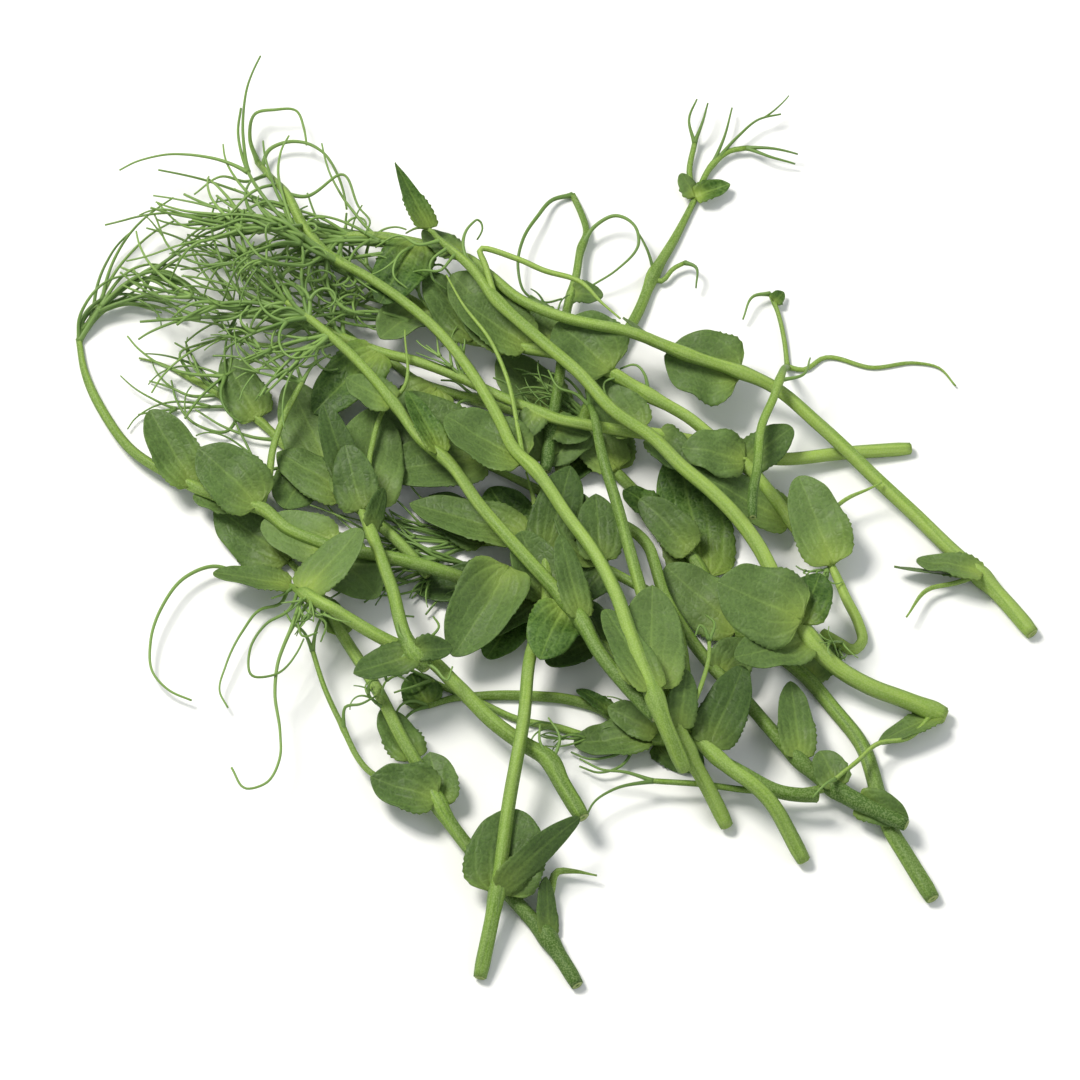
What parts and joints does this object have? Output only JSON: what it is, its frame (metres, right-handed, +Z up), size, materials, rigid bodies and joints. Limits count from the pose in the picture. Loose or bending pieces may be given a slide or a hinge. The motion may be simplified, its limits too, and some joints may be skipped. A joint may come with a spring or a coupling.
{
  "type": "pea microgreens",
  "caption": "Loose tangled handful of cut pea shoots with juicy stems, clasping oval leaves and branched curling tendrils, lying on a flat surface.",
  "frame": {"origin": "middle of the bounding box on the plane that the handful lies on", "axes": "+Z up from the surface, +Y away from the viewer towards the curling tips, +X to the viewer's right"},
  "size_m": [0.1739, 0.1838, 0.0201],
  "materials": {
    "deep_green": "waxy matte",
    "fresh_green": "waxy satin"
  },
  "bodies": {
    "root": {"shoot_01": "deep_green", "shoot_02": "deep_green", "shoot_03": "deep_green", "shoot_04": "deep_green", "shoot_05": "deep_green", "shoot_06": "deep_green", "shoot_07": "deep_green", "shoot_08": "deep_green", "shoot_09": "deep_green", "shoot_10": "deep_green", "shoot_11": "deep_green", "shoot_12": "deep_green", "shoot_13": "fresh_green", "shoot_14": "fresh_green", "shoot_15": "fresh_green", "shoot_16": "fresh_green", "shoot_17": "fresh_green", "shoot_18": "fresh_green", "shoot_19": "fresh_green", "shoot_20": "fresh_green", "shoot_21": "fresh_green", "shoot_22": "fresh_green"}
  },
  "joints": []
}
